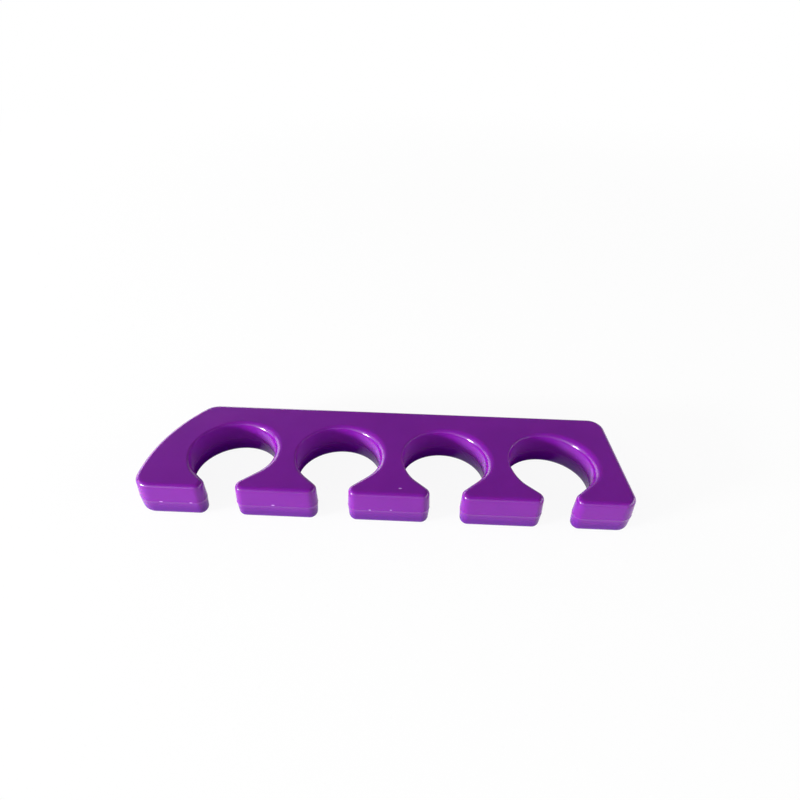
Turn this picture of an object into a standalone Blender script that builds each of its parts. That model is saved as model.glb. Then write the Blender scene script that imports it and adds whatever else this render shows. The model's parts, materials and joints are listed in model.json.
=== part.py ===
"""Toe separator: one bar of moulded silicone with four open bays between five arms.

The bar lies flat on its underside. X runs along its length, the arms' tips point to -Y, the
spine is at +Y, and the origin is at the middle of its length and depth, on the underside.
Run with blender --background --python part.py, or from Blender's text editor.
"""
import math

import bmesh
import bpy
from mathutils import Vector

# Plan of the bar, in metres
BAY_COUNT = 4
BAY_RADIUS = 0.00865
NECK_WIDTH = 0.0060  # clear width of the mouth that leads into each bay
WAIST_WIDTH = 0.0052  # narrowest material between two bays
TIP_DEPTH = 0.00295  # from the tips' front face back to the nearest point of a bay
SPINE_WIDTH = 0.00695  # from a bay back to the rear face
LEFT_TIP_WIDTH = 0.0145
RIGHT_TIP_WIDTH = 0.0123

# Plan of the two ends: the left one is a long arc, the right one is straight and slants in
LEFT_ARC_RADIUS = 0.0330
LEFT_ARC_SETBACK = 0.0050  # from the tips' front face back to the arc's leftmost point
RIGHT_SLANT = 0.0008
NOSE_RADIUS = 0.0018
LEFT_TIP_CORNER = 0.0038
RIGHT_TIP_CORNER = 0.0031
LEFT_BACK_CORNER = 0.0042
RIGHT_BACK_CORNER = 0.0035

# Section, from the mould: two drafted halves, a thin flash where they meet, round rims
THICKNESS = 0.0082
PARTING_HEIGHT = 0.0039  # the two halves of the mould meet a little below the middle
DRAFT = 0.00015  # each wall leans in this far between the parting line and its face
FLASH = 0.00003
FLASH_HALF_HEIGHT = 0.00008
MOULD_MISMATCH = 0.00002  # the lower half is this much smaller all round
UPPER_RIM_RADIUS = 0.0012
LOWER_RIM_RADIUS = 0.0014

# Facets
CHORD_ERROR = 0.00003
WELD_DISTANCE = CHORD_ERROR / 10
RIM_SEGMENTS = 4
SHARP_ANGLE = math.radians(40)  # edges steeper than this are shaded as sharp

# Sizes that follow from those above
BAY_PITCH = 2 * BAY_RADIUS + WAIST_WIDTH
HEAD_WIDTH = BAY_PITCH - NECK_WIDTH
DEPTH = TIP_DEPTH + 2 * BAY_RADIUS + SPINE_WIDTH
LENGTH = LEFT_TIP_WIDTH + BAY_COUNT * NECK_WIDTH + (BAY_COUNT - 1) * HEAD_WIDTH + RIGHT_TIP_WIDTH
LEFT = -LENGTH / 2
RIGHT = LENGTH / 2
FRONT = -DEPTH / 2
BACK = DEPTH / 2
BAY_Y = FRONT + TIP_DEPTH + BAY_RADIUS
FIRST_BAY_X = LEFT + LEFT_TIP_WIDTH + NECK_WIDTH / 2

FILLET_SHARE = 0.9  # most of the room beside it that a fillet may take


def nose_radius():
    """Radius of the arms' noses, held under the one at which a nose would touch the bay's circle."""
    linear = 4 * BAY_RADIUS + 2 * TIP_DEPTH - NECK_WIDTH
    constant = NECK_WIDTH**2 / 4 + 2 * BAY_RADIUS * TIP_DEPTH + TIP_DEPTH**2
    touching = (linear - math.sqrt(linear**2 - 4 * constant)) / 2
    return min(NOSE_RADIUS, FILLET_SHARE * touching)


def held_rim(radius, wall):
    """Radius of a half's rim, held under the tightest plan corner and the half's own wall."""
    corner = min(nose_radius(), LEFT_TIP_CORNER, RIGHT_TIP_CORNER, LEFT_BACK_CORNER, RIGHT_BACK_CORNER)
    corner -= FLASH + MOULD_MISMATCH + DRAFT
    return min(radius, FILLET_SHARE * corner, FILLET_SHARE * wall)


def plan_circles():
    """Circles that the outline runs round, anticlockwise: (centre, radius), below zero for a hollow."""
    arc_centre = Vector((LEFT + LEFT_ARC_RADIUS, FRONT + LEFT_ARC_SETBACK))

    def against_arc(radius, y):
        reach = LEFT_ARC_RADIUS - radius
        return Vector((arc_centre.x - math.sqrt(reach**2 - (y - arc_centre.y) ** 2), y))

    nose = nose_radius()
    circles = [(against_arc(LEFT_TIP_CORNER, FRONT + LEFT_TIP_CORNER), LEFT_TIP_CORNER)]
    for index in range(BAY_COUNT):
        x = FIRST_BAY_X + index * BAY_PITCH
        beside = NECK_WIDTH / 2 + nose
        circles.append((Vector((x - beside, FRONT + nose)), nose))
        circles.append((Vector((x, BAY_Y)), -BAY_RADIUS))
        circles.append((Vector((x + beside, FRONT + nose)), nose))
    tip_corner = Vector((RIGHT - RIGHT_TIP_CORNER, FRONT + RIGHT_TIP_CORNER))
    circles.append((tip_corner, RIGHT_TIP_CORNER))
    back_corner = Vector((RIGHT - RIGHT_SLANT - RIGHT_BACK_CORNER, BACK - RIGHT_BACK_CORNER))
    circles.append((back_corner, RIGHT_BACK_CORNER))
    circles.append((against_arc(LEFT_BACK_CORNER, BACK - LEFT_BACK_CORNER), LEFT_BACK_CORNER))
    circles.append((arc_centre, LEFT_ARC_RADIUS))
    return circles


def tangent_normal(start, end):
    """Angle of the outward normal of the straight that runs from one circle to the next."""
    across = end[0] - start[0]
    lean = (start[1] - end[1]) / across.length
    return math.atan2(across.y, across.x) - math.acos(max(-1.0, min(1.0, lean)))


def plan_outline():
    """Points of the outline: an arc on each circle, with straights between one arc and the next."""
    circles = plan_circles()
    points = []
    for index, (centre, radius) in enumerate(circles):
        first = tangent_normal(circles[index - 1], circles[index])
        last = tangent_normal(circles[index], circles[(index + 1) % len(circles)])
        turn = (last - first) % math.tau
        if radius < 0:
            turn -= math.tau
        facet = 2 * math.acos(1 - CHORD_ERROR / abs(radius))
        steps = max(1, math.ceil(abs(turn) / facet))
        for step in range(steps + 1):
            angle = first + turn * step / steps
            point = centre + radius * Vector((math.cos(angle), math.sin(angle)))
            if not points or (point - points[-1]).length > CHORD_ERROR:
                points.append(point)
    if (points[0] - points[-1]).length <= CHORD_ERROR:
        points.pop()
    return points


def add_half(mesh, outline, up, inset, wall, rim):
    """One half of the moulding: the parting outline raised in drafted layers, with a round rim."""
    corners = [mesh.verts.new((point.x, point.y, PARTING_HEIGHT)) for point in outline]
    face = mesh.faces.new(corners if up else corners[::-1])
    mesh.normal_update()
    for inward, rise in ((inset, FLASH_HALF_HEIGHT), (DRAFT, wall)):
        bmesh.ops.inset_individual(
            mesh, faces=[face], thickness=inward, depth=0, use_even_offset=True
        )
        shift = Vector((0, 0, rise if up else -rise))
        bmesh.ops.translate(mesh, verts=face.verts[:], vec=shift)
    bmesh.ops.bevel(
        mesh,
        geom=face.edges[:],
        offset=held_rim(rim, wall),
        offset_type="OFFSET",
        affect="EDGES",
        segments=RIM_SEGMENTS,
        profile=0.5,
        clamp_overlap=False,
        material=-1,
    )


def separator_mesh():
    """Both halves, welded along the parting line."""
    outline = plan_outline()
    upper_wall = THICKNESS - PARTING_HEIGHT - FLASH_HALF_HEIGHT
    lower_wall = PARTING_HEIGHT - FLASH_HALF_HEIGHT
    mesh = bmesh.new()
    add_half(mesh, outline, True, FLASH, upper_wall, UPPER_RIM_RADIUS)
    add_half(mesh, outline, False, FLASH + MOULD_MISMATCH, lower_wall, LOWER_RIM_RADIUS)
    bmesh.ops.remove_doubles(mesh, verts=mesh.verts, dist=WELD_DISTANCE)
    bmesh.ops.recalc_face_normals(mesh, faces=mesh.faces)
    data = bpy.data.meshes.new("toe_separator")
    mesh.to_mesh(data)
    mesh.free()
    return data


def silicone():
    """Glossy purple silicone rubber."""
    material = bpy.data.materials.new("purple_silicone")
    material.use_nodes = True
    shader = material.node_tree.nodes["Principled BSDF"]
    shader.inputs["Base Color"].default_value = (0.150, 0.014, 0.255, 1)
    shader.inputs["Roughness"].default_value = 0.18
    shader.inputs["Metallic"].default_value = 0
    return material


def main():
    for item in list(bpy.data.objects):
        bpy.data.objects.remove(item, do_unlink=True)
    data = separator_mesh()
    data.materials.append(silicone())
    data.shade_smooth()
    data.set_sharp_from_angle(angle=SHARP_ANGLE)
    separator = bpy.data.objects.new("toe_separator", data)
    bpy.context.collection.objects.link(separator)


if __name__ == "__main__":
    main()
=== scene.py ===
"""Looks of the toe separator: one glossy moulded silicone bar on a pale studio floor.

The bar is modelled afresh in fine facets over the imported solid, which it replaces. Lengths are in
metres. X runs along the bar, the arms' tips point to -Y, and the bar lies on the floor at z = 0.
"""

import json
import math

import bmesh
import bpy
from mathutils import Matrix, Vector, noise


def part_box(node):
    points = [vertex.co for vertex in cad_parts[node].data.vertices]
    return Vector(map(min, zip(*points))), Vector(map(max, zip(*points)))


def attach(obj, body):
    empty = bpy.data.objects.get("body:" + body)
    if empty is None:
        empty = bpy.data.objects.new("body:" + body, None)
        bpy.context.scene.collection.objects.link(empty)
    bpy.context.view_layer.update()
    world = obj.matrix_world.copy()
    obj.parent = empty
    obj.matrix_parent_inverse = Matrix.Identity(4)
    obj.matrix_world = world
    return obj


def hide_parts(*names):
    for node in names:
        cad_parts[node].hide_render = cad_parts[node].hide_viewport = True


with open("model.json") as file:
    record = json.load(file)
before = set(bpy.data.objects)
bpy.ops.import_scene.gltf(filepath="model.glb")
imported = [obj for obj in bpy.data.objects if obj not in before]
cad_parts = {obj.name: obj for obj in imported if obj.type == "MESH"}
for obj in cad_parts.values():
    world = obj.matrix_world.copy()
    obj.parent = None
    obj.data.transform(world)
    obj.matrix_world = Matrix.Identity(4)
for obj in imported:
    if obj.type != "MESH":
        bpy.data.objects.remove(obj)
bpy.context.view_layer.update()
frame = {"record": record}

bl_info = {
    "name": "Toe Separator",
    "version": (1, 0, 0),
    "blender": (4, 5, 0),
    "location": "View3D > Sidebar > Toe Separator",
    "description": "Models a moulded silicone toe separator, and lights it as a studio shot",
    "category": "Object",
}

BODY = "root"
NODE = "toe_separator"

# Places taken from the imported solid
BAR_LOW, BAR_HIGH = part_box(NODE)
OPENINGS = frame["record"]["physics"]["openings"]
BAY_BOXES = [opening["box_m"] for opening in OPENINGS if opening["name"].startswith("bay")]
BAY_CENTRES_X = [(low[0] + high[0]) / 2 for low, high in BAY_BOXES]

# Facets of the bar
LEAST_ARC_STEPS = 4
LONGEST_EDGE = 1.5  # in facets: a longer edge of the outline is halved
CLOSEST_POINTS = 0.25  # in facets: closer points of the outline are merged
FLASH_RINGS = 2
WALL_RINGS = 5
RIM_RINGS = 8
HOLD = 0.00004  # a narrow ring inside each flat face, which keeps its shading flat
WELD = 0.000001

# Upper rims of a bay: their radius changes with the side, from -1 on the left to 1 on the right
LEFT_TO_BACK_SIDES = (-0.9, 0.1)
BACK_TO_RIGHT_SIDES = (0.0, 0.8)
MOUTH_ANGLES = (math.radians(40), math.radians(75))  # off the mouth, where the noses' rims give way

# Flash: it stands out where the sum of a broad noise and a finer one rises through these levels
FLASH_SCALE = 160
FINE_FLASH_SCALE = 900
FINE_FLASH_SHARE = 0.5
FLASH_LEVELS = (0.1, 0.6)

# Pigment with its painted shade, and skin: scales are in waves to the metre, and a pattern eases in between
# its two levels
CLOUD_LEVELS = (0.35, 0.65)
LOW_SHADE_HEIGHTS = (0.0010, 0.0045)  # the painted shade of the low colour fades out between these heights
HANDLING_SCALE = 170.0
HANDLING_LEVELS = (0.48, 0.72)
STREAK_SCALES = (220.0, 220.0, 4500.0)  # long along the bar, fine in height
STREAK_LEVELS = (0.55, 0.70)
STREAK_HEIGHTS = (0.0002, 0.0014)  # off the parting line, where the streaks fade out

# Turned walls of a bay: their finish fades out between two distances beyond the bay's radius. Between
# two places right of the bay's middle, in bay radii, that fade draws in by the setback
WALL_FADE = (0.0002, 0.0004)
RIGHT_SHARES = (0.1, 0.6)
RIGHT_SETBACK = 0.0002

# Gloss, and the light that soaks in
COAT_ROUGHNESS = 0.20
COAT_IOR = 1.43
WALL_COAT_LOSS = 0.88
LOW_COAT_LOSS = 0.30
GLOW_WEIGHT = 0.6
GLOW_SPREAD = (1.0, 0.2, 0.5)  # red soaks in furthest

# Painted glints of small nibs of rubber, where they catch the light: the place of each and how far it
# reaches
SPECK_GLINTS = (
    ((0.0033, -0.0114, 0.0082), 0.00020),
    ((-0.0444, -0.0136, 0.0039), 0.00022),
    ((-0.0384, -0.0136, 0.0039), 0.00020),
    ((-0.0219, -0.0136, 0.0042), 0.00020),
    ((-0.0026, -0.0136, 0.0040), 0.00014),
    ((0.0016, -0.0136, 0.0042), 0.00014),
)
SPECK_SQUEEZE = (0.45, 1.0, 1.2)  # they lie along the bar
SPECK_CORE = 1 / 3  # the share of its reach in which a nib's painted glint is palest

# Paper floor, which sweeps up all round
FLOOR_REACH = 2.4
FLOOR_SIDES = 96
SWEEP_RADIUS = 2.2
SWEEP_ANGLE = math.radians(100)
SWEEP_RINGS = 24
SHADED_REACHES = (0.16, 0.55)  # the shaded share of the paper fades out between these distances
WHITE_HEIGHTS = (0.5, 2.6)  # up the sweep, the plain white fades out between these heights
WHITE = (1.0, 1.0, 1.0, 1.0)

# Lamps: the name, the setting that holds the power, the size, azimuth, elevation and distance of each
LAMPS = (
    ("key_lamp", "key_power", (0.17, 0.07), -64, 11, 0.70),
    ("left_box", "left_power", (1.20, 0.60), -62, 22, 0.80),
    ("front_box", "front_power", (1.20, 0.60), 0, 18, 0.80),
    ("right_box", "right_power", (0.80, 0.30), 85, 15, 0.70),
    ("back_box", "back_power", (0.80, 0.38), -140, 11, 0.70),
    ("strip_lamp", "strip_power", (0.40, 0.04), 7, 24, 0.70),
)

# Camera
SENSOR_WIDTH = 36.0
LENS = 24.5
CAMERA_PLACE = Vector((0.004128, -0.087395, 0.086101))
CAMERA_TILT = math.radians(53.513)
CAMERA_HEADING = math.radians(1.023)
CAMERA_ROLL = math.radians(1.605)
CAMERA_NEAR = 0.005
CAMERA_FAR = 4 * FLOOR_REACH


class BarSizes(bpy.types.PropertyGroup):
    """Sizes of the bar."""

    depth: bpy.props.FloatProperty(
        name="Depth", description="From the tips' front face to the back of the spine",
        default=BAR_HIGH.y - BAR_LOW.y, unit="LENGTH")
    thickness: bpy.props.FloatProperty(
        name="Thickness", description="From the underside to the top",
        default=BAR_HIGH.z - BAR_LOW.z, unit="LENGTH")
    bay_radius: bpy.props.FloatProperty(
        name="Bay radius", description="Radius of each round bay",
        default=0.00865, unit="LENGTH")
    mouth_width: bpy.props.FloatProperty(
        name="Mouth width", description="Clear width between the noses of two arms",
        default=0.0060, unit="LENGTH")
    tip_depth: bpy.props.FloatProperty(
        name="Tip depth", description="From the tips' front face to the nearest point of a bay",
        default=0.00295, unit="LENGTH")
    nose_radius: bpy.props.FloatProperty(
        name="Nose radius", description="Corner radius of the arms beside a mouth",
        default=0.0018, unit="LENGTH")
    left_arc_radius: bpy.props.FloatProperty(
        name="Left end radius", description="Radius of the long arc that ends the bar on the left",
        default=0.0330, unit="LENGTH")
    left_arc_setback: bpy.props.FloatProperty(
        name="Left end setback", description="From the tips' front face to the left end's outermost point",
        default=0.0050, unit="LENGTH")
    right_slant: bpy.props.FloatProperty(
        name="Right slant", description="How far the right end leans in at the back",
        default=0.0008, unit="LENGTH")
    left_tip_corner: bpy.props.FloatProperty(
        name="Left tip corner", description="Corner radius at the front of the left end",
        default=0.0038, unit="LENGTH")
    right_tip_corner: bpy.props.FloatProperty(
        name="Right tip corner", description="Corner radius at the front of the right end",
        default=0.0031, unit="LENGTH")
    left_back_corner: bpy.props.FloatProperty(
        name="Left back corner", description="Corner radius at the back of the left end",
        default=0.0042, unit="LENGTH")
    right_back_corner: bpy.props.FloatProperty(
        name="Right back corner", description="Corner radius at the back of the right end",
        default=0.0035, unit="LENGTH")


class MouldMarks(bpy.types.PropertyGroup):
    """What the mould leaves on the bar: drafted halves, round rims and a thin flash."""

    parting_height: bpy.props.FloatProperty(
        name="Parting height", description="Height at which the two halves of the mould meet",
        default=0.0039, unit="LENGTH")
    draft: bpy.props.FloatProperty(
        name="Draft", description="How far a wall leans in between the parting line and its face",
        default=0.00015, unit="LENGTH")
    mismatch: bpy.props.FloatProperty(
        name="Mismatch", description="How much smaller the lower half is all round",
        default=0.00002, unit="LENGTH")
    flash: bpy.props.FloatProperty(
        name="Flash", description="How far the flash stands out",
        default=0.00003, unit="LENGTH")
    flash_half_height: bpy.props.FloatProperty(
        name="Flash half height", description="Half the height of the flash",
        default=0.00008, unit="LENGTH")
    flash_loss: bpy.props.FloatProperty(
        name="Flash loss", description="How much of the flash is worn off along most of its length",
        default=0.000022, unit="LENGTH")
    flash_ripple: bpy.props.FloatProperty(
        name="Flash ripple", description="How far the flash stands out again in places",
        default=0.00004, unit="LENGTH")
    rim_radius: bpy.props.FloatProperty(
        name="Rim radius", description="Radius of the upper rims along the outside and the noses",
        default=0.0010, unit="LENGTH")
    lower_rim_radius: bpy.props.FloatProperty(
        name="Lower rim radius", description="Radius of the rims round the underside",
        default=0.0014, unit="LENGTH")
    bay_left_rim: bpy.props.FloatProperty(
        name="Bay left rim", description="Radius of the crisp upper rim at the left of each bay",
        default=0.00045, unit="LENGTH")
    bay_back_rim: bpy.props.FloatProperty(
        name="Bay back rim", description="Radius of the upper rim at the back of each bay",
        default=0.00095, unit="LENGTH")
    bay_right_rim: bpy.props.FloatProperty(
        name="Bay right rim", description="Radius of the rounder upper rim at the right of each bay",
        default=0.0016, unit="LENGTH")
    facet: bpy.props.FloatProperty(
        name="Facet", description="Length of the facets along the outline",
        default=0.00030, unit="LENGTH")


class SiliconeLook(bpy.types.PropertyGroup):
    """Finish of the silicone, with painted shade by the underside and painted glints on the nibs."""

    colour: bpy.props.FloatVectorProperty(
        name="Colour", description="Colour of the silicone",
        default=(0.162, 0.0060, 0.268), subtype="COLOR", size=3, min=0, max=1)
    deep_colour: bpy.props.FloatVectorProperty(
        name="Deep colour", description="Colour where the pigment lies thicker",
        default=(0.148, 0.0046, 0.250), subtype="COLOR", size=3, min=0, max=1)
    # Painted shade: the colour is darker down by the underside, standing in for the shade that falls there
    low_shade_colour: bpy.props.FloatVectorProperty(
        name="Low colour", description="Colour down by the underside, where less light soaks in",
        default=(0.092, 0.0030, 0.205), subtype="COLOR", size=3, min=0, max=1)
    # Painted glints: the pale colour of the nibs stands in for the light that they catch
    speck_glint_colour: bpy.props.FloatVectorProperty(
        name="Speck colour", description="Colour of the small nibs that stick to the skin",
        default=(0.55, 0.25, 0.70), subtype="COLOR", size=3, min=0, max=1)
    roughness: bpy.props.FloatProperty(
        name="Roughness", description="Roughness of the moulded skin",
        default=0.17, subtype="FACTOR", min=0, max=1)
    bay_roughness: bpy.props.FloatProperty(
        name="Bay roughness", description="How much duller the turned walls of the bays are",
        default=0.10, subtype="FACTOR", min=0, max=1)
    roughness_change: bpy.props.FloatProperty(
        name="Roughness change", description="How much duller the handled patches are",
        default=0.10, subtype="FACTOR", min=0, max=1)
    cloud_size: bpy.props.FloatProperty(
        name="Cloud size", description="Size of the faint clouds in the pigment",
        default=0.012, unit="LENGTH")
    grain_size: bpy.props.FloatProperty(
        name="Grain size", description="Size of the fine ripples that the mould leaves in the skin",
        default=0.0011, unit="LENGTH")
    grain_depth: bpy.props.FloatProperty(
        name="Grain depth", description="Depth of the fine ripples",
        default=0.0000035, unit="LENGTH")
    wear_depth: bpy.props.FloatProperty(
        name="Wear depth", description="Depth of the streaks along the parting line, in ripples' depths",
        default=3.0, min=0)
    glow_depth: bpy.props.FloatProperty(
        name="Glow depth", description="How deep light soaks into the silicone",
        default=0.0018, unit="LENGTH")


class StudioLook(bpy.types.PropertyGroup):
    """Floor, lamps and room."""

    floor_colour: bpy.props.FloatVectorProperty(
        name="Floor colour", description="Colour of the paper floor",
        default=(0.95, 0.95, 0.95), subtype="COLOR", size=3, min=0, max=1)
    floor_glow: bpy.props.FloatProperty(
        name="Floor glow", description="Share of the floor by the bar that shows as plain white paper",
        default=0.92, subtype="FACTOR", min=0, max=1)
    key_power: bpy.props.FloatProperty(
        name="Key lamp", description="Power of the small key lamp on the left, which streaks the rims",
        default=8.0, unit="POWER")
    left_power: bpy.props.FloatProperty(
        name="Left box", description="Power of the broad soft box on the front left",
        default=4.2, unit="POWER")
    front_power: bpy.props.FloatProperty(
        name="Front box", description="Power of the broad soft box in front",
        default=1.8, unit="POWER")
    right_power: bpy.props.FloatProperty(
        name="Right box", description="Power of the soft box on the right",
        default=2.7, unit="POWER")
    back_power: bpy.props.FloatProperty(
        name="Back box", description="Power of the soft box behind on the left",
        default=2.8, unit="POWER")
    strip_power: bpy.props.FloatProperty(
        name="Strip lamp", description="Power of the narrow strip in front, which lines the bays' back rims",
        default=0.15, unit="POWER")
    world_level: bpy.props.FloatProperty(
        name="Room", description="Level of the dim room around the set",
        default=0.19, subtype="FACTOR", min=0, max=1)


class Term:
    """A node's output that can stand in a sum as a number does."""

    def __init__(self, recipe, socket):
        self.recipe = recipe
        self.socket = socket

    def _math(self, operation, first, second):
        return self.recipe.add("ShaderNodeMath", {"operation": operation}, {0: first, 1: second})

    def __add__(self, other):
        return self._math("ADD", self, other)

    def __sub__(self, other):
        return self._math("SUBTRACT", self, other)

    def __rsub__(self, other):
        return self._math("SUBTRACT", other, self)

    def __mul__(self, other):
        return self._math("MULTIPLY", self, other)

    __radd__ = __add__
    __rmul__ = __mul__


class Recipe:
    """A node tree, with one method that adds any node to it."""

    def __init__(self, tree):
        self.tree = tree
        tree.nodes.clear()

    def add(self, kind, settings=None, inputs=None, output=0):
        """Adds a node, makes its settings, fills its sockets, and returns one output as a Term."""
        node = self.tree.nodes.new(kind)
        for name, value in (settings or {}).items():
            if name == "stops":
                self._stops(node.color_ramp, value)
            else:
                setattr(node, name, value)
        for name, value in (inputs or {}).items():
            if isinstance(value, Term):
                self.tree.links.new(value.socket, node.inputs[name])
            else:
                node.inputs[name].default_value = value
        return Term(self, node.outputs[output]) if len(node.outputs) else None

    def _stops(self, ramp, stops):
        """Sets the two stops of a grey ramp."""
        for element, (place, level) in zip(ramp.elements, stops):
            element.position = place
            element.color = (level, level, level, 1.0)


def opaque(colour):
    """A colour with full alpha, as a socket takes it."""
    return (*colour, 1.0)


def ease(recipe, value, low, high, start=0.0):
    """Eases from start to 1 as a Term goes from low to high."""
    return recipe.add(
        "ShaderNodeMapRange", {"interpolation_type": "SMOOTHSTEP"},
        {"Value": value, "From Min": low, "From Max": high, "To Min": start, "To Max": 1.0})


def rise(recipe, value, low, high):
    """Rises evenly from 0 to 1 as a Term goes from low to high."""
    return recipe.add("ShaderNodeValToRGB", {"stops": [(low, 0.0), (high, 1.0)]}, {"Fac": value})


def mottle(recipe, place, scale, detail, roughness):
    """Soft noise from 0 to 1."""
    return recipe.add(
        "ShaderNodeTexNoise", {},
        {"Vector": place, "Scale": scale, "Detail": detail, "Roughness": roughness})


def blend(recipe, share, under, over):
    """The colour under, with a share of the colour over mixed in."""
    return recipe.add("ShaderNodeMix", {"data_type": "RGBA"}, {0: share, 6: under, 7: over}, output=2)


def along_axis(recipe, place, axis):
    """A place's distance along the X, Y or Z axis."""
    return recipe.add("ShaderNodeSeparateXYZ", {}, {"Vector": place}, output=axis)


def smooth(value, low, high):
    """Eases from 0 to 1 as a number goes from low to high."""
    share = max(0.0, min(1.0, (value - low) / (high - low)))
    return share * share * (3 - 2 * share)


def add_object(scene, name, data):
    """Puts an object that shows the data into the scene."""
    holder = bpy.data.objects.new(name, data)
    scene.collection.objects.link(holder)
    return holder


def finished_mesh(mesh, name):
    """Turns a bmesh into mesh data, and lets go of it."""
    data = bpy.data.meshes.new(name)
    mesh.to_mesh(data)
    mesh.free()
    return data


def bay_centre_y(sizes):
    """Where the bays' centres lie between the front and the back."""
    return -sizes.depth / 2 + sizes.tip_depth + sizes.bay_radius


def plan_circles(sizes):
    """Circles that the outline runs round, anticlockwise: (centre, radius), below zero for a hollow."""
    left, right = BAR_LOW.x, BAR_HIGH.x
    front = -sizes.depth / 2
    back = sizes.depth / 2
    arc_centre = Vector((left + sizes.left_arc_radius, front + sizes.left_arc_setback, 0))

    def against_arc(radius, y):
        reach = sizes.left_arc_radius - radius
        return Vector((arc_centre.x - math.sqrt(reach**2 - (y - arc_centre.y) ** 2), y, 0))

    corner = sizes.left_tip_corner
    circles = [(against_arc(corner, front + corner), corner)]
    nose = sizes.nose_radius
    beside = sizes.mouth_width / 2 + nose
    for x in BAY_CENTRES_X:
        circles.append((Vector((x - beside, front + nose, 0)), nose))
        circles.append((Vector((x, bay_centre_y(sizes), 0)), -sizes.bay_radius))
        circles.append((Vector((x + beside, front + nose, 0)), nose))
    corner = sizes.right_tip_corner
    circles.append((Vector((right - corner, front + corner, 0)), corner))
    corner = sizes.right_back_corner
    circles.append((Vector((right - sizes.right_slant - corner, back - corner, 0)), corner))
    corner = sizes.left_back_corner
    circles.append((against_arc(corner, back - corner), corner))
    circles.append((arc_centre, sizes.left_arc_radius))
    return circles


def tangent_normal(start, end):
    """Angle of the outward normal of the straight that runs from one circle to the next."""
    across = end[0] - start[0]
    lean = (start[1] - end[1]) / across.length
    return math.atan2(across.y, across.x) - math.acos(max(-1.0, min(1.0, lean)))


def draw_outline(mesh, sizes, marks):
    """Spins a vertex round each circle, joins the arcs with straights, and fills the outline."""
    circles = plan_circles(sizes)
    ends = []
    for index, (centre, radius) in enumerate(circles):
        first = tangent_normal(circles[index - 1], circles[index])
        last = tangent_normal(circles[index], circles[(index + 1) % len(circles)])
        turn = (last - first) % math.tau
        if radius < 0:
            turn -= math.tau
        start = mesh.verts.new(centre + radius * Vector((math.cos(first), math.sin(first), 0)))
        steps = max(LEAST_ARC_STEPS, round(abs(turn * radius) / marks.facet))
        spun = bmesh.ops.spin(
            mesh, geom=[start], cent=centre, axis=(0, 0, 1), dvec=(0, 0, 0), angle=turn,
            steps=steps, use_duplicate=False)
        ends.append((start, spun["geom_last"][0]))
    for index, (start, _) in enumerate(ends):
        mesh.edges.new((ends[index - 1][1], start))
    longest = LONGEST_EDGE * marks.facet
    while too_long := [edge for edge in mesh.edges if edge.calc_length() > longest]:
        bmesh.ops.subdivide_edges(mesh, edges=too_long, cuts=1)
    bmesh.ops.remove_doubles(mesh, verts=mesh.verts[:], dist=CLOSEST_POINTS * marks.facet)
    bmesh.ops.translate(mesh, verts=mesh.verts[:], vec=(0, 0, marks.parting_height))
    made = bmesh.ops.contextual_create(mesh, geom=mesh.edges[:])
    return made["faces"][0]


def wall_steps(marks, height, inset, rim):
    """Inset and rise of each ring of a half, from the parting line to a little way in on its face."""
    steps = [(inset / FLASH_RINGS, marks.flash_half_height / FLASH_RINGS)] * FLASH_RINGS
    wall = height - marks.flash_half_height - rim
    steps += [(marks.draft / WALL_RINGS, wall / WALL_RINGS)] * WALL_RINGS
    before = (0.0, 0.0)
    for ring in range(1, RIM_RINGS + 1):
        angle = math.pi / 2 * ring / RIM_RINGS
        place = (rim * (1 - math.cos(angle)), rim * math.sin(angle))
        steps.append((place[0] - before[0], place[1] - before[1]))
        before = place
    steps.append((HOLD, 0.0))
    return steps


def mould_half(sizes, marks, up):
    """One half of the moulding, raised or sunk from the parting line ring by ring."""
    mesh = bmesh.new()
    face = draw_outline(mesh, sizes, marks)
    if (face.normal.z > 0) != up:
        face.normal_flip()
    mesh.normal_update()
    height = sizes.thickness - marks.parting_height if up else marks.parting_height
    inset = marks.flash if up else marks.flash + marks.mismatch
    rim = marks.rim_radius if up else marks.lower_rim_radius
    for inward, lift in wall_steps(marks, height, inset, rim):
        bmesh.ops.inset_individual(mesh, faces=[face], thickness=inward, use_even_offset=True)
        shift = Vector((0, 0, lift if up else -lift))
        bmesh.ops.translate(mesh, verts=face.verts[:], vec=shift)
    return mesh


def rim_growth(marks, away):
    """How many times the plain radius a bay's upper rim has, on the side to which away points."""
    side = away.x / away.length
    radius = marks.bay_left_rim
    radius += smooth(side, *LEFT_TO_BACK_SIDES) * (marks.bay_back_rim - marks.bay_left_rim)
    radius += smooth(side, *BACK_TO_RIGHT_SIDES) * (marks.bay_right_rim - marks.bay_back_rim)
    from_mouth = away.angle(Vector((0, -1)))
    return 1 + smooth(from_mouth, *MOUTH_ANGLES) * (radius / marks.rim_radius - 1)


def round_bay_rims(mesh, sizes, marks):
    """Gives the upper rims inside the bays their own radius, easing off towards the noses."""
    wall = sizes.bay_radius + marks.flash + marks.draft
    foot = marks.parting_height + marks.flash_half_height
    above_foot = sizes.thickness - foot
    for x in BAY_CENTRES_X:
        centre = Vector((x, bay_centre_y(sizes)))
        for vertex in mesh.verts:
            away = vertex.co.xy - centre
            beyond = away.length - wall
            if vertex.co.z < foot or beyond > marks.rim_radius + 2 * HOLD:
                continue
            growth = rim_growth(marks, away)
            drop = sizes.thickness - vertex.co.z
            if drop <= marks.rim_radius and beyond > 0:
                vertex.co.xy = centre + away.normalized() * (wall + beyond * growth)
                vertex.co.z = sizes.thickness - drop * growth
            else:
                plain_wall = above_foot - marks.rim_radius
                new_wall = above_foot - marks.rim_radius * growth
                vertex.co.z = foot + (vertex.co.z - foot) * new_wall / plain_wall


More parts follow.
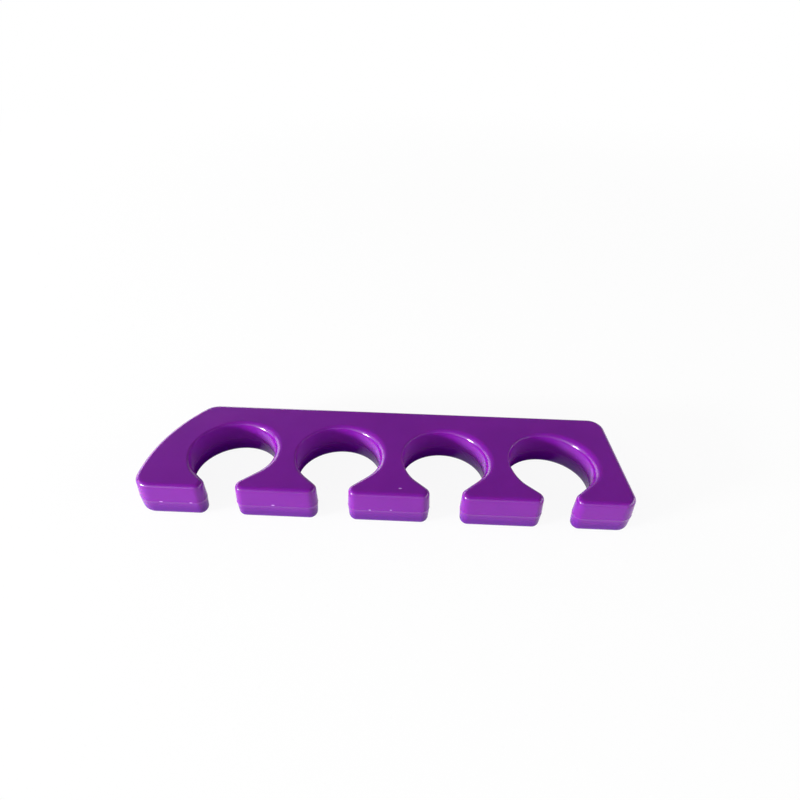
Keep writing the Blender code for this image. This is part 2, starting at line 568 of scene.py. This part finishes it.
def ripple_flash(mesh, marks):
    """Lets the flash come and go along the parting line."""
    mesh.normal_update()
    for vertex in mesh.verts:
        if abs(vertex.co.z - marks.parting_height) < WELD:
            fine = noise.noise(vertex.co * FINE_FLASH_SCALE)
            level = noise.noise(vertex.co * FLASH_SCALE) + FINE_FLASH_SHARE * fine
            out = Vector((vertex.normal.x, vertex.normal.y, 0)).normalized()
            vertex.co += out * (marks.flash_ripple * smooth(level, *FLASH_LEVELS) - marks.flash_loss)


def bar_mesh(sizes, marks):
    """Both halves, welded along the parting line."""
    bar = mould_half(sizes, marks, True)
    round_bay_rims(bar, sizes, marks)
    lower = finished_mesh(mould_half(sizes, marks, False), "lower_half")
    bar.from_mesh(lower)
    bpy.data.meshes.remove(lower)
    bmesh.ops.remove_doubles(bar, verts=bar.verts[:], dist=WELD)
    bmesh.ops.recalc_face_normals(bar, faces=bar.faces[:])
    ripple_flash(bar, marks)
    data = finished_mesh(bar, "silicone_bar")
    data.shade_smooth()
    return data


def bay_walls(recipe, sizes, place):
    """1 on the turned walls of the bays, easing to 0 on their rims and on everything outside them."""
    pitch = BAY_CENTRES_X[1] - BAY_CENTRES_X[0]
    steps = (along_axis(recipe, place, "X") - BAY_CENTRES_X[0]) * (1 / pitch)
    nearest = recipe.add("ShaderNodeMath", {"operation": "ROUND"}, {0: steps})
    last = len(BAY_CENTRES_X) - 1.0
    nearest = recipe.add("ShaderNodeClamp", {}, {"Value": nearest, "Min": 0.0, "Max": last})
    beside = (steps - nearest) * pitch
    behind = along_axis(recipe, place, "Y") - bay_centre_y(sizes)
    away = recipe.add("ShaderNodeMath", {"operation": "SQRT"}, {0: beside * beside + behind * behind})
    right = ease(recipe, beside, *(share * sizes.bay_radius for share in RIGHT_SHARES))
    fade = (sizes.bay_radius + beyond for beyond in WALL_FADE)
    return 1 - ease(recipe, away + right * RIGHT_SETBACK, *fade)


def seam_wear(recipe, marks, place, height):
    """Fine streaks along the parting line, where the mould was scraped clean: 0 away from it."""
    stretched = recipe.add(
        "ShaderNodeVectorMath", {"operation": "MULTIPLY"}, {0: place, 1: STREAK_SCALES})
    noisy = mottle(recipe, stretched, scale=1.0, detail=2.0, roughness=0.5)
    streaks = rise(recipe, noisy, *STREAK_LEVELS)
    off = recipe.add("ShaderNodeMath", {"operation": "ABSOLUTE"}, {0: height - marks.parting_height})
    return streaks * (1 - ease(recipe, off, *STREAK_HEIGHTS))


def speck_glints(recipe, place):
    """Painted glints: small pale spots where nibs of rubber catch the light, on one arm's top and along the
    parting line of the tips.
    """
    squeezed = recipe.add(
        "ShaderNodeVectorMath", {"operation": "MULTIPLY"}, {0: place, 1: SPECK_SQUEEZE})
    pale = 0.0
    for spot, reach in SPECK_GLINTS:
        middle = Vector(spot) * Vector(SPECK_SQUEEZE)
        away = recipe.add(
            "ShaderNodeVectorMath", {"operation": "DISTANCE"}, {0: squeezed, 1: middle},
            output="Value")
        pale = 1 - ease(recipe, away, SPECK_CORE * reach, reach) + pale
    return pale


def pigment(recipe, look, place, low):
    """Purple with faint clouds, with painted shade deeper towards the underside and painted glints on the
    nibs.
    """
    clouds = mottle(recipe, place, scale=1 / look.cloud_size, detail=3.0, roughness=0.5)
    cloudy = rise(recipe, clouds, *CLOUD_LEVELS)
    colour = blend(recipe, cloudy, opaque(look.colour), opaque(look.deep_colour))
    # Painted shade: the colour darkens towards the underside
    colour = blend(recipe, low, colour, opaque(look.low_shade_colour))
    # Painted glints on the nibs
    return blend(recipe, speck_glints(recipe, place), colour, opaque(look.speck_glint_colour))


def dullness(recipe, look, place, turned):
    """Roughness: the moulded skin's own, more in handled patches and on the bays' turned walls."""
    handling = mottle(recipe, place, scale=HANDLING_SCALE, detail=4.0, roughness=0.6)
    patches = rise(recipe, handling, *HANDLING_LEVELS)
    return look.roughness + patches * look.roughness_change + turned * look.bay_roughness


def mould_skin(recipe, marks, look, place, height):
    """Fine ripples all over, with streaks along the parting line."""
    ripples = mottle(recipe, place, scale=1 / look.grain_size, detail=2.0, roughness=0.4)
    relief = ripples + seam_wear(recipe, marks, place, height) * look.wear_depth
    return recipe.add(
        "ShaderNodeBump", {}, {"Strength": 1.0, "Distance": look.grain_depth, "Height": relief})


def silicone(sizes, marks, look):
    """Glossy purple silicone, which light soaks into."""
    material = bpy.data.materials.new("purple_silicone")
    material.use_nodes = True
    recipe = Recipe(material.node_tree)
    place = recipe.add("ShaderNodeTexCoord", output="Object")
    height = along_axis(recipe, place, "Z")
    # 1 down by the underside: it feeds the painted shade in the colour and a thinner coat there
    low = 1 - ease(recipe, height, *LOW_SHADE_HEIGHTS)
    turned = bay_walls(recipe, sizes, place)
    surface = recipe.add(
        "ShaderNodeBsdfPrincipled", {"subsurface_method": "RANDOM_WALK"},
        {
            "Base Color": pigment(recipe, look, place, low),
            "Roughness": dullness(recipe, look, place, turned),
            "Normal": mould_skin(recipe, marks, look, place, height),
            "Specular IOR Level": 0.0,
            "Coat Weight": 1 - turned * WALL_COAT_LOSS - low * LOW_COAT_LOSS,
            "Coat Roughness": COAT_ROUGHNESS,
            "Coat IOR": COAT_IOR,
            "Subsurface Weight": GLOW_WEIGHT,
            "Subsurface Radius": GLOW_SPREAD,
            "Subsurface Scale": look.glow_depth,
        })
    recipe.add("ShaderNodeOutputMaterial", {}, {"Surface": surface})
    return material


class SEPARATOR_OT_bar(bpy.types.Operator):
    """Models the silicone bar and gives it its finish"""

    bl_idname = "separator.bar"
    bl_label = "Silicone bar"

    def execute(self, context):
        scene = context.scene
        data = bar_mesh(scene.separator_sizes, scene.separator_marks)
        material = silicone(scene.separator_sizes, scene.separator_marks, scene.separator_silicone)
        data.materials.append(material)
        bar = add_object(scene, "silicone_bar", data)
        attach(bar, BODY)
        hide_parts(NODE)
        return {"FINISHED"}


def paper(look):
    """Paper that shows as plain white, but for a share by the bar that is lit and holds its shadow."""
    material = bpy.data.materials.new("studio_paper")
    material.use_nodes = True
    recipe = Recipe(material.node_tree)
    rays = [
        recipe.add("ShaderNodeLightPath", output=name)
        for name in ("Is Camera Ray", "Is Glossy Ray", "Is Transmission Ray")
    ]
    seen = recipe.add(
        "ShaderNodeMath", {"operation": "ADD", "use_clamp": True}, {0: rays[0], 1: rays[1] + rays[2]})
    place = recipe.add("ShaderNodeTexCoord", output="Object")
    away = recipe.add("ShaderNodeVectorMath", {"operation": "LENGTH"}, {0: place}, output="Value")
    share = ease(recipe, away, *SHADED_REACHES, start=look.floor_glow)
    share = share * (1 - ease(recipe, along_axis(recipe, place, "Z"), *WHITE_HEIGHTS))
    sheet = recipe.add("ShaderNodeBsdfDiffuse", {}, {"Color": opaque(look.floor_colour)})
    glow = recipe.add("ShaderNodeEmission", {}, {"Color": WHITE, "Strength": 1.0})
    surface = recipe.add("ShaderNodeMixShader", {}, {0: seen * share, 1: sheet, 2: glow})
    recipe.add("ShaderNodeOutputMaterial", {}, {"Surface": surface})
    return material


def add_floor(scene, look):
    """A round paper floor that sweeps up all round, far outside the lamps."""
    mesh = bmesh.new()
    inner = mesh.verts.new((FLOOR_REACH, 0, 0))
    bmesh.ops.spin(
        mesh, geom=[inner], cent=(FLOOR_REACH, 0, SWEEP_RADIUS), axis=(0, 1, 0), dvec=(0, 0, 0),
        angle=-SWEEP_ANGLE, steps=SWEEP_RINGS, use_duplicate=False)
    middle = mesh.verts.new((0, 0, 0))
    mesh.edges.new((middle, inner))
    bmesh.ops.spin(
        mesh, geom=mesh.edges[:], cent=(0, 0, 0), axis=(0, 0, 1), dvec=(0, 0, 0), angle=math.tau,
        steps=FLOOR_SIDES, use_merge=True, use_duplicate=False)
    bmesh.ops.remove_doubles(mesh, verts=mesh.verts[:], dist=WELD)
    bmesh.ops.recalc_face_normals(mesh, faces=mesh.faces[:])
    data = finished_mesh(mesh, "floor")
    data.materials.append(paper(look))
    floor = add_object(scene, "floor", data)


def add_lamp(scene, name, power, size, azimuth, elevation, distance):
    """A soft box that looks at the bar: azimuth 0 is in front, 90 is on the right."""
    lamp = bpy.data.lights.new(name, "AREA")
    lamp.shape = "RECTANGLE"
    lamp.size, lamp.size_y = size
    lamp.energy = power
    turn = math.radians(azimuth)
    lift = math.radians(elevation)
    away = Vector((math.sin(turn) * math.cos(lift), -math.cos(turn) * math.cos(lift), math.sin(lift)))
    holder = add_object(scene, name, lamp)
    holder.location = away * distance
    holder.rotation_euler = away.to_track_quat("Z", "Y").to_euler()
    holder.visible_camera = False


def add_camera(scene):
    """The camera in front of the bar and above it."""
    camera = bpy.data.cameras.new("camera")
    camera.sensor_width = SENSOR_WIDTH
    camera.lens = LENS
    camera.clip_start = CAMERA_NEAR
    camera.clip_end = CAMERA_FAR
    holder = add_object(scene, "camera", camera)
    turned = Matrix.Rotation(CAMERA_HEADING, 4, "Z")
    tilted = Matrix.Rotation(CAMERA_TILT, 4, "X")
    rolled = Matrix.Rotation(CAMERA_ROLL, 4, "Z")
    holder.matrix_world = Matrix.Translation(CAMERA_PLACE) @ turned @ tilted @ rolled
    scene.camera = holder


def add_room(scene, look):
    """The dim room around the set."""
    world = bpy.data.worlds.new("room")
    scene.world = world
    world.use_nodes = True
    recipe = Recipe(world.node_tree)
    light = recipe.add("ShaderNodeBackground", {}, {"Color": WHITE, "Strength": look.world_level})
    recipe.add("ShaderNodeOutputWorld", {}, {"Surface": light})


class SEPARATOR_OT_stage(bpy.types.Operator):
    """Sets up the floor, the lamps, the room and the camera"""

    bl_idname = "separator.stage"
    bl_label = "Studio"

    def execute(self, context):
        scene = context.scene
        look = scene.separator_studio
        add_floor(scene, look)
        add_room(scene, look)
        for name, power, *aim in LAMPS:
            add_lamp(scene, name, getattr(look, power), *aim)
        add_camera(scene)
        scene.view_settings.view_transform = "Standard"
        return {"FINISHED"}


class SEPARATOR_PT_panel(bpy.types.Panel):
    """The steps that make the toe separator"""

    bl_idname = "SEPARATOR_PT_panel"
    bl_label = "Toe Separator"
    bl_space_type = "VIEW_3D"
    bl_region_type = "UI"
    bl_category = "Toe Separator"

    def draw(self, context):
        layout = self.layout
        for name, (group, _) in GROUPS.items():
            box = layout.box()
            for prop in group.__annotations__:
                box.prop(getattr(context.scene, name), prop)
        for operator in OPERATORS:
            layout.operator(operator.bl_idname)


GROUPS = {
    "separator_sizes": (BarSizes, "Sizes of the bar"),
    "separator_marks": (MouldMarks, "Marks of the mould"),
    "separator_silicone": (SiliconeLook, "Finish of the silicone"),
    "separator_studio": (StudioLook, "Floor, lamps and room"),
}
OPERATORS = (SEPARATOR_OT_bar, SEPARATOR_OT_stage)


def register():
    """Registers the settings, the operators and the panel."""
    for name, (group, description) in GROUPS.items():
        bpy.utils.register_class(group)
        setattr(bpy.types.Scene, name, bpy.props.PointerProperty(type=group, description=description))
    for operator in OPERATORS:
        bpy.utils.register_class(operator)
    bpy.utils.register_class(SEPARATOR_PT_panel)


def unregister():
    """Takes the panel, the operators and the settings away again."""
    bpy.utils.unregister_class(SEPARATOR_PT_panel)
    for operator in reversed(OPERATORS):
        bpy.utils.unregister_class(operator)
    for name, (group, _) in reversed(GROUPS.items()):
        delattr(bpy.types.Scene, name)
        bpy.utils.unregister_class(group)


def main():
    """Sets up the stage and makes the bar."""
    register()
    bpy.ops.separator.stage()
    bpy.ops.separator.bar()


if __name__ == "__main__":
    main()
